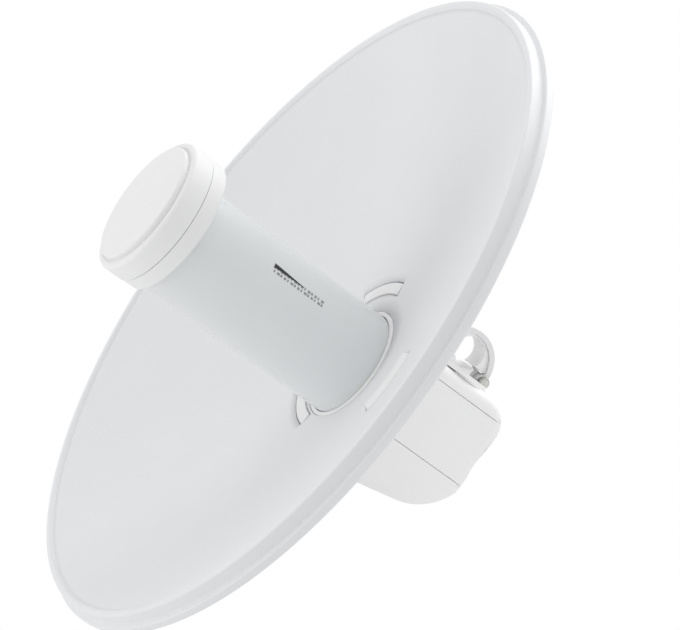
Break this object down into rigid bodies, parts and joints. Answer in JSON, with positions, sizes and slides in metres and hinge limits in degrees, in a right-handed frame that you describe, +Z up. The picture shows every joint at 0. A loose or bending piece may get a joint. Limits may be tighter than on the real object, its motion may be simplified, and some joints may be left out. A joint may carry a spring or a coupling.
{
  "type": "satellite dish",
  "caption": "White parabolic dish with a plug-in feed tube, a rear radio housing with a sliding port door, and a tilting side clamp for a pole.",
  "frame": {"origin": "on the axis of the clamped pole, level with the dish axis", "axes": "+Z up the pole, the dish looks along -Y, +X from the dish axis towards the pole clamp"},
  "size_m": [0.42, 0.2524, 0.42],
  "materials": {
    "painted_dish": "satin white powder coat",
    "painted_strap": "satin white paint",
    "housing_plastic": "fine-textured white moulding",
    "gloss_tube": "glossy white extrusion",
    "dark_window": "smoked window",
    "dark_plastic": "grey moulding",
    "grey_rubber": "matt rubber",
    "steel_plated": "zinc plated steel",
    "sheet_aluminium": "plain sheet",
    "board_green": "solder-masked circuit board"
  },
  "bodies": {
    "mount": {"saddle": "housing_plastic", "clamp_pin": "steel_plated", "pivot_bolt": "steel_plated", "lock_bolt": "steel_plated", "lock_nut": "steel_plated"},
    "head": {"reflector": "painted_dish", "lock_ring": "housing_plastic", "base_ring": "housing_plastic", "back_collar": "housing_plastic", "housing": "housing_plastic", "cable_grommet": "grey_rubber", "main_board": "board_green", "port_jack": "steel_plated", "reset_button": "dark_plastic", "housing_screws": "steel_plated", "ground_screw": "steel_plated"},
    "feed": {"feed_tube": "gloss_tube", "status_window": "dark_window", "feed_collar": "housing_plastic", "feed_cap": "housing_plastic", "cap_disc": "housing_plastic", "splash_plate": "sheet_aluminium", "feed_board": "board_green", "feed_plug": "housing_plastic"},
    "door": {"port_door": "housing_plastic"},
    "strap": {"strap": "painted_strap", "strap_liner": "housing_plastic", "clamp_screw": "steel_plated", "screw_knob": "dark_plastic"}
  },
  "joints": [
    {"name": "elevation", "type": "hinge", "parent": "mount", "child": "head", "pos_m": [-0.0135, 0, 0], "axis": [1, 0, 0], "range_deg": [-20, 20]},
    {"name": "feed_pull", "type": "slide", "parent": "head", "child": "feed", "axis": [0, -1, 0], "range_m": [0, 0.09]},
    {"name": "door_slide", "type": "slide", "parent": "head", "child": "door", "axis": [0, 1, 0], "range_m": [0, 0.045]},
    {"name": "strap_swing", "type": "hinge", "parent": "mount", "child": "strap", "pos_m": [-0.0093, 0.017, 0], "axis": [0, 0, 1], "range_deg": [0, 75]}
  ]
}
